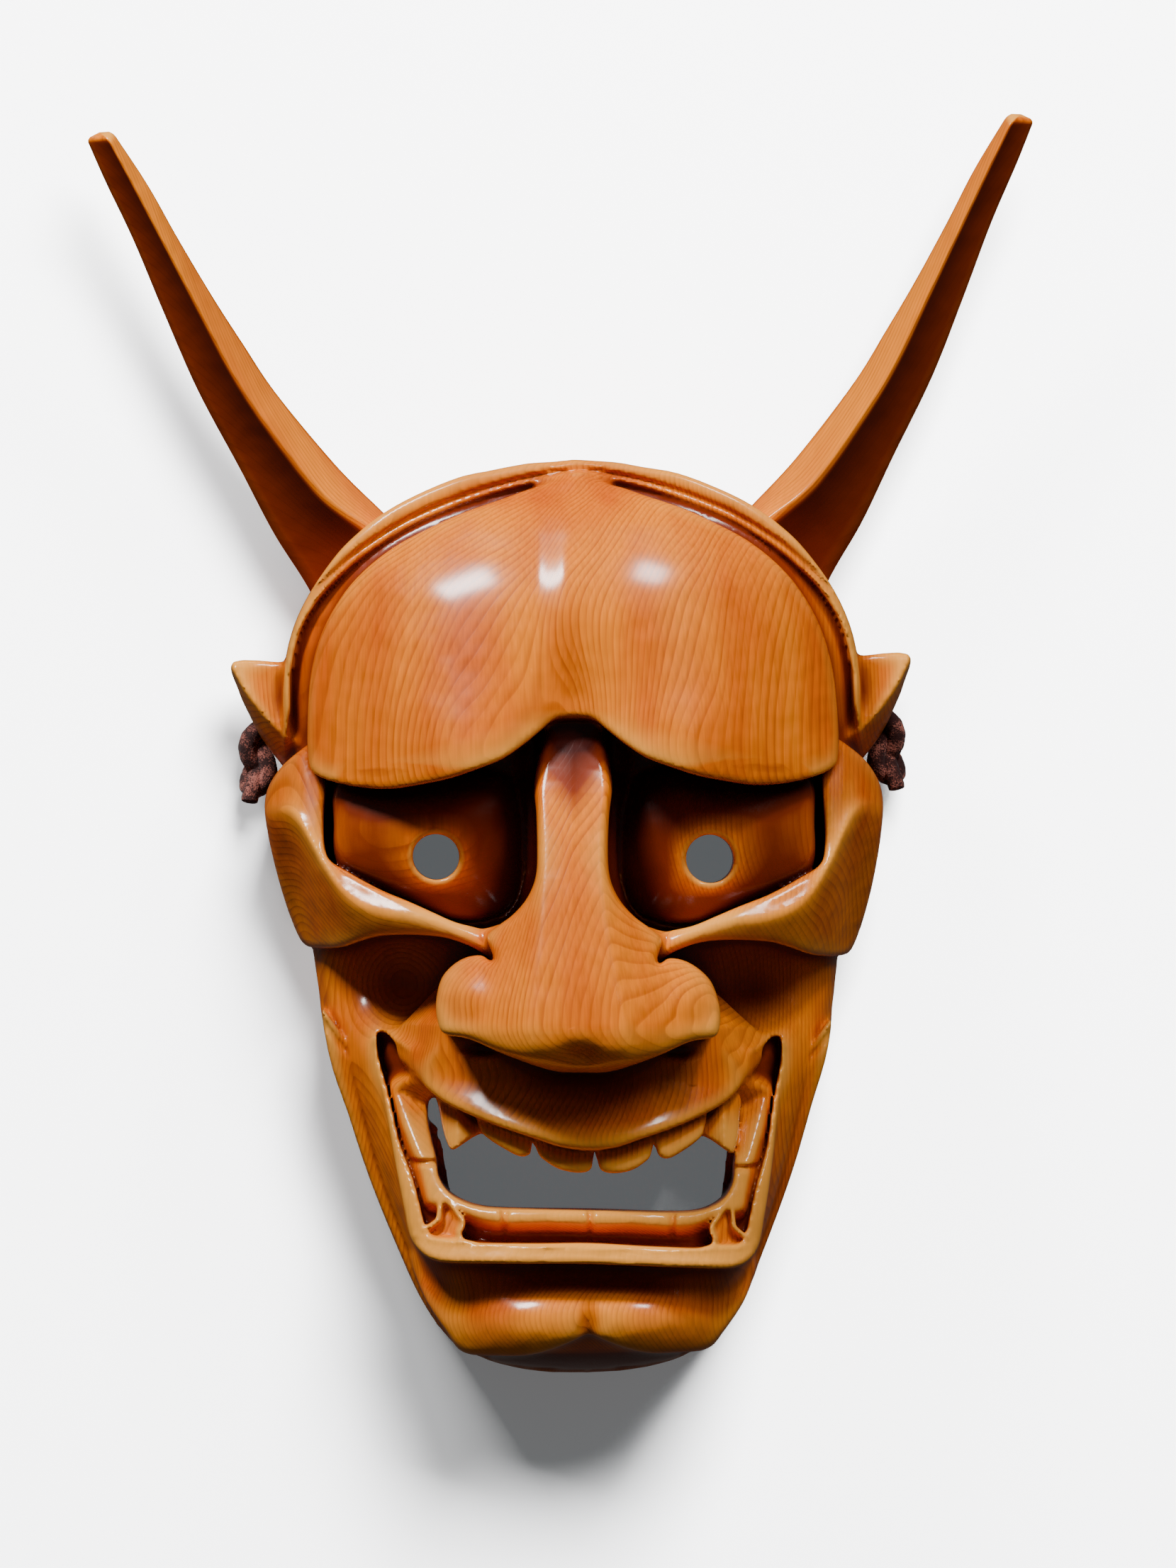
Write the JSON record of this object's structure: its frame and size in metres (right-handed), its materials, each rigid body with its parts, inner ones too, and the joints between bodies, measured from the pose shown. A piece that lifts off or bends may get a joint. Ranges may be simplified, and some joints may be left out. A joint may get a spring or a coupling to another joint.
{
  "type": "hannya mask",
  "caption": "Carved and varnished wooden hannya mask with two horns, fanged open mouth, round pupil holes and a knotted cord.",
  "frame": {"origin": "on the plane of the back rim, under the middle of the bounding box", "axes": "+X to the viewer's right across the face, +Y from the chin towards the horns, +Z out of the face"},
  "size_m": [0.248, 0.3274, 0.1035],
  "materials": {
    "mask_wood": "amber varnish, glossy, fine straight grain",
    "horn_wood": "amber varnish, satin, straight grain along the horn",
    "cord_cotton": "braided cotton, red-brown, matt"
  },
  "bodies": {
    "root": {"mask": "mask_wood", "horn_left": "horn_wood", "horn_right": "horn_wood", "knot_left": "cord_cotton", "knot_right": "cord_cotton", "cord": "cord_cotton"}
  },
  "joints": []
}
